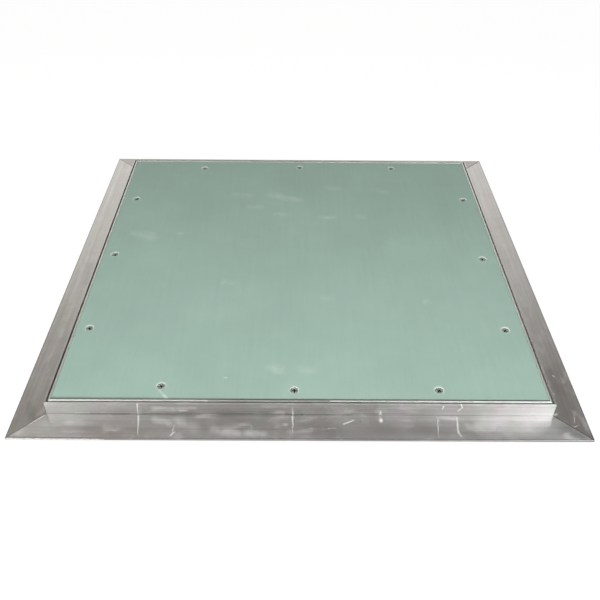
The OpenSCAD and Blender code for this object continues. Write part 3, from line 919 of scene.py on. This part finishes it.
class HATCH_OT_door_board(bpy.types.Operator):
    """Finishes the door's plasterboard and adds the torn paper round each screw head"""

    bl_idname = "hatch.door_board"
    bl_label = "Door board"

    def execute(self, context):
        dress(green_board("green_face_paper"), "door_board")
        chance = random.Random(7)
        mesh = bmesh.new()
        count = 40
        for low, high in solids_of("board_screws"):
            centre = (low + high) / 2
            head = (high.x - low.x) / 2
            wobble = chance.uniform(0, 50)
            rings = []
            for share, lift in TORN_SECTION:
                ring = []
                for i in range(count):
                    turn = 2 * math.pi * i / count
                    x, y = math.cos(turn), math.sin(turn)
                    rough = noise.noise(Vector((3 * x, 3 * y, wobble + share)))
                    torn = noise.noise(Vector((9 * x, 9 * y, wobble - share)))
                    radius = head * (share + 0.06 * rough + 0.035 * torn)
                    rise = (lift + 0.12 * torn * (share < 1.1)) * MM
                    ring.append((centre.x + radius * x, centre.y + radius * y, BOARD_HIGH.z + rise))
                rings.append(ring)
            ring_strip(mesh, rings, closed_ends=False)
        for face in mesh.faces:
            face.smooth = True
        bmesh.ops.recalc_face_normals(mesh, faces=mesh.faces)
        mesh_object("torn_paper_rings", mesh, torn_paper("torn_face_paper"), "door")
        return {"FINISHED"}


class HATCH_OT_board_screws(bpy.types.Operator):
    """Makes the twelve threaded bugle-head drywall screws"""

    bl_idname = "hatch.board_screws"
    bl_label = "Board screws"

    def execute(self, context):
        form = context.scene.hatch_screws
        found = solids_of("board_screws")
        low, high = found[0]
        head_share = 0.93
        head = (high.x - low.x) / 2 * head_share
        length = high.z - low.z
        shank = 1.75 * MM
        core = shank * form.core
        bugle = 4 * MM
        point = 5 * MM
        count = 28
        flare = []
        for k in range(9):
            share = k / 8
            radius = core + (head - core) * share**2.4
            flare.append(circle(radius, -bugle + (bugle - 0.5 * MM) * share, count))
        lip = [circle(head, -0.18 * MM, count), circle(head * 0.97, 0.0, count)]
        thread = threaded_rings(length - bugle, shank, core, form.pitch * MM, point, count)
        thread = [[(x, y, z - bugle) for x, y, z in ring] for ring in thread[:-1]]
        screw = screw_mesh(flare + lip, thread, span=form.recess_mm * MM, width=1.1 * MM, depth=2.2 * MM)
        chance = random.Random(3)
        places = []
        for low, high in found:
            turn = Matrix.Rotation(chance.uniform(0, math.pi / 2), 4, "Z")
            tilt = Matrix.Rotation(math.radians(chance.uniform(-1.5, 1.5)), 4, "X")
            centre = (low + high) / 2
            seat = Matrix.Translation((centre.x, centre.y, high.z - form.sink_mm * MM))
            places.append(seat @ tilt @ turn)
        steel = phosphated_steel("phosphated_steel", [place.translation for place in places])
        made = mesh_object("drywall_screws", copies(screw, places), steel, "door")
        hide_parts("board_screws")
        return {"FINISHED"}


class HATCH_OT_keys_and_plates(bpy.types.Operator):
    """Finishes the corner keys, the strike plates and the pivot pins"""

    bl_idname = "hatch.keys_and_plates"
    bl_label = "Keys and plates"

    def execute(self, context):
        zinc = plated_steel("hot_dip_zinc", "#B4B6B9", 6.0, 0.32, 0.5)
        dress(zinc, *[f"frame_key_{c}" for c in CORNERS], *[f"door_key_{c}" for c in CORNERS])
        dress(zinc, "strike_plate_left", "strike_plate_right")
        turned = plated_steel("turned_steel", "#A9ABAE", 1.5, 0.22, 0.34)
        dress(turned, "pivot_pin_left", "pivot_pin_right")
        return {"FINISHED"}


class HATCH_OT_latches(bpy.types.Operator):
    """Finishes the two push latches and makes their threaded screws"""

    bl_idname = "hatch.latches"
    bl_label = "Push latches"

    def execute(self, context):
        finishes = {
            "housing": moulded_plastic("white_acetal", "#DEDED8", 0.42),
            "plunger": moulded_plastic("black_nylon", "#232325", 0.38),
            "magnet": plated_steel("nickel_plate", "#C6C2B8", 2.0, 0.12, 0.2),
            "spring": plated_steel("spring_wire", "#9C9EA2", 1.0, 0.2, 0.3),
        }
        for piece, material in finishes.items():
            dress(material, f"latch_{piece}_left", f"latch_{piece}_right")
        found = solids_of("latch_screws")
        low, high = found[0]
        head = (high.x - low.x) / 2
        head_h = 1.8 * MM
        shank = 1.45 * MM
        count = 24
        section = ((1, 0.0), (1, 0.45), (0.93, 0.78), (0.72, 1.0))
        dome = [circle(head * share, -head_h + head_h * up, count) for share, up in section]
        core, pitch, point = shank * 0.74, 1.1 * MM, 1.2 * MM
        thread = threaded_rings(high.z - low.z - head_h, shank, core, pitch, point, count)
        thread = [[(x, y, z - head_h) for x, y, z in ring] for ring in thread]
        screw = screw_mesh(dome, thread, span=3.2 * MM, width=0.7 * MM, depth=1.2 * MM)
        chance = random.Random(5)
        places = []
        for low, high in found:
            centre = (low + high) / 2
            turn = Matrix.Rotation(chance.uniform(0, math.pi / 2), 4, "Z")
            places.append(Matrix.Translation((centre.x, centre.y, high.z)) @ turn)
        zinc = plated_steel("bright_zinc", "#BFC3C8", 1.2, 0.2, 0.32)
        made = mesh_object("latch_fixing_screws", copies(screw, places), zinc, "frame")
        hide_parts("latch_screws")
        return {"FINISHED"}


def softbox(name, place, aim, size, power):
    """A rectangular lamp at place that faces aim, with its two sides in metres and its power in watts."""
    data = bpy.data.lights.new(name, "AREA")
    data.shape = "RECTANGLE"
    data.size, data.size_y = size
    data.energy = power
    data.color = (0.96, 0.98, 1.0)
    lamp = scene_object(name, data)
    lamp.location = place
    lamp.rotation_euler = (Vector(aim) - Vector(place)).to_track_quat("-Z", "Y").to_euler()


class HATCH_OT_stage(bpy.types.Operator):
    """Makes the camera, the pale floor, the studio's lamps and its pale surroundings"""

    bl_idname = "hatch.stage"
    bl_label = "Studio"

    def execute(self, context):
        stage = context.scene.hatch_stage
        self.camera(stage)
        self.floor(stage)
        self.surroundings()
        softbox("lamp_over_front", (0.0, -0.28, 0.48), (0, -0.26, 0), (1.1, 0.2), 1.65)
        softbox("lamp_right", (0.75, -0.93, 0.85), (0.15, -0.2, 0), (0.6, 0.5), 5.4)
        softbox("lamp_right_inner", (0.36, -0.93, 0.85), (0.12, -0.2, 0), (0.36, 0.5), 0.45)
        softbox("lamp_left", (-0.95, -0.90, 0.85), (-0.15, -0.2, 0), (0.85, 0.5), 5.6)
        context.scene.view_settings.view_transform = "Standard"
        return {"FINISHED"}

    def camera(self, stage):
        """Camera at the photograph's viewing angle."""
        cy, sy = math.cos(stage.yaw), math.sin(stage.yaw)
        cp, sp = math.cos(stage.pitch), math.sin(stage.pitch)
        cr, sr = math.cos(stage.roll), math.sin(stage.roll)
        ahead = Vector((sy * cp, cy * cp, -sp))
        right = Vector((cy, -sy, 0))
        up = right.cross(ahead)
        turned_right = right * cr + up * sr
        turned_up = up * cr - right * sr
        data = bpy.data.cameras.new("camera")
        data.sensor_width = SENSOR_MM
        data.lens = stage.lens
        data.clip_start = 0.01
        camera = scene_object("camera", data)
        axes = Matrix((turned_right, turned_up, -ahead)).transposed().to_4x4()
        camera.matrix_world = Matrix.Translation(stage.eye) @ axes
        bpy.context.scene.camera = camera

    def floor(self, stage):
        """A wide pale floor that keeps the shadow, a little lighter to the eye than to the object."""
        material, tree, shader = blank_material("pale_floor")
        path = add(tree, "LightPath").node.outputs
        seen = add(
            tree, "Math", {0: path["Is Camera Ray"], 1: path["Is Glossy Ray"]}, operation="MAXIMUM",
        )
        seen = add(tree, "Math", {0: seen, 1: path["Is Transmission Ray"]}, operation="MAXIMUM")
        glow = add(tree, "Math", {0: seen, 1: 0.82}, operation="MULTIPLY")
        white = add(tree, "Emission", {"Color": (1, 1, 1, 1), "Strength": 1.10})
        shown = add(tree, "MixShader", {0: glow, 1: shader.outputs[0], 2: white})
        clear = add(tree, "BsdfTransparent")
        behind = add(tree, "NewGeometry", out="Backfacing")
        one_sided = add(tree, "MixShader", {0: behind, 1: shown, 2: clear})
        feed(tree.nodes["Material Output"], {"Surface": one_sided})
        feed(shader, {"Base Color": shade(stage.floor_colour), "Roughness": 0.9})
        mesh = bmesh.new()
        reach, level = 8.0, CAD_BOX[0].z - 0.1 * MM
        mesh.faces.new([mesh.verts.new((sx * reach, sy * reach, level)) for sx, sy in SQUARE])
        data = bpy.data.meshes.new("floor")
        mesh.to_mesh(data)
        mesh.free()
        data.materials.append(material)
        scene_object("floor", data)

    def surroundings(self):
        """Pale studio walls under a grey ceiling, for light and reflections. The eye sees plain white."""
        world = bpy.data.worlds.new("studio")
        bpy.context.scene.world = world
        world.use_nodes = True
        tree = world.node_tree
        towards = add(tree, "TexCoord", out="Generated")
        parts = add(tree, "SeparateXYZ", {0: towards}).node.outputs
        share = add(
            tree, "MapRange", {"Value": parts["Z"], "From Min": 0.54, "From Max": 0.68},
            interpolation_type="SMOOTHSTEP",
        )
        side = add(tree, "MapRange", {"Value": parts["X"], "From Min": -0.5, "From Max": 0.45})
        ceiling = add(
            tree, "Mix", {0: side, 6: (0.28, 0.24, 0.21, 1.0), 7: (0.03, 0.026, 0.023, 1.0)},
            **OF_COLOURS,
        )
        walls = add(
            tree, "Mix", {0: side, 6: (1.03, 1.01, 0.96, 1.0), 7: (0.88, 0.86, 0.84, 1.0)}, **OF_COLOURS,
        )
        behind = add(
            tree, "MapRange",
            {"Value": parts["Y"], "From Min": -0.5, "From Max": 0.2, "To Min": 0.7, "To Max": 1.03},
        )
        raised = add(tree, "MapRange", {"Value": parts["Z"], "From Min": 0.2, "From Max": 0.35})
        behind = add(tree, "Mix", {0: raised, 2: 1.0, 3: behind})
        behind = add(tree, "CombineXYZ", {0: behind, 1: behind, 2: behind})
        walls = add(tree, "Mix", {0: 1.0, 6: walls, 7: behind}, **OF_COLOURS, blend_type="MULTIPLY")
        colour = add(tree, "Mix", {0: share, 6: walls, 7: ceiling}, **OF_COLOURS)
        path = add(tree, "LightPath").node.outputs
        seen = add(
            tree, "Math", {0: path["Is Camera Ray"], 1: path["Is Transmission Ray"]}, operation="MAXIMUM",
        )
        colour = add(tree, "Mix", {0: seen, 6: colour, 7: (1.0, 1.0, 1.0, 1.0)}, **OF_COLOURS)
        feed(tree.nodes["Background"], {"Color": colour, "Strength": 1.0})


class HATCH_PT_sidebar(bpy.types.Panel):
    """Lists the hatch's pieces in the 3D view's sidebar"""

    bl_idname = "HATCH_PT_sidebar"
    bl_label = "Access hatch"
    bl_space_type = "VIEW_3D"
    bl_region_type = "UI"
    bl_category = "Hatch"

    def draw(self, context):
        for operator in OPERATORS:
            self.layout.operator(operator.bl_idname)
        for name in GROUPS:
            group = getattr(context.scene, name)
            box = self.layout.box()
            box.label(text=group.__class__.__doc__)
            for prop in group.__annotations__:
                box.prop(group, prop)


GROUPS = {
    "hatch_metal": HatchMetal,
    "hatch_board": HatchBoard,
    "hatch_screws": HatchScrews,
    "hatch_stage": HatchStage,
}
OPERATORS = (
    HATCH_OT_stage,
    HATCH_OT_outer_frame,
    HATCH_OT_door_frame,
    HATCH_OT_door_board,
    HATCH_OT_board_screws,
    HATCH_OT_keys_and_plates,
    HATCH_OT_latches,
)


def register():
    """Registers the settings, the operators and the panel."""
    for name, group in GROUPS.items():
        bpy.utils.register_class(group)
        setattr(bpy.types.Scene, name, bpy.props.PointerProperty(type=group))
    for operator in OPERATORS:
        bpy.utils.register_class(operator)
    bpy.utils.register_class(HATCH_PT_sidebar)


def unregister():
    """Takes back what register made."""
    bpy.utils.unregister_class(HATCH_PT_sidebar)
    for operator in reversed(OPERATORS):
        bpy.utils.unregister_class(operator)
    for name, group in GROUPS.items():
        delattr(bpy.types.Scene, name)
        bpy.utils.unregister_class(group)


def main():
    """Makes the camera and studio first, then each group of pieces."""
    register()
    bpy.ops.hatch.stage()
    bpy.ops.hatch.outer_frame()
    bpy.ops.hatch.door_frame()
    bpy.ops.hatch.door_board()
    bpy.ops.hatch.board_screws()
    bpy.ops.hatch.keys_and_plates()
    bpy.ops.hatch.latches()


if __name__ == "__main__":
    main()
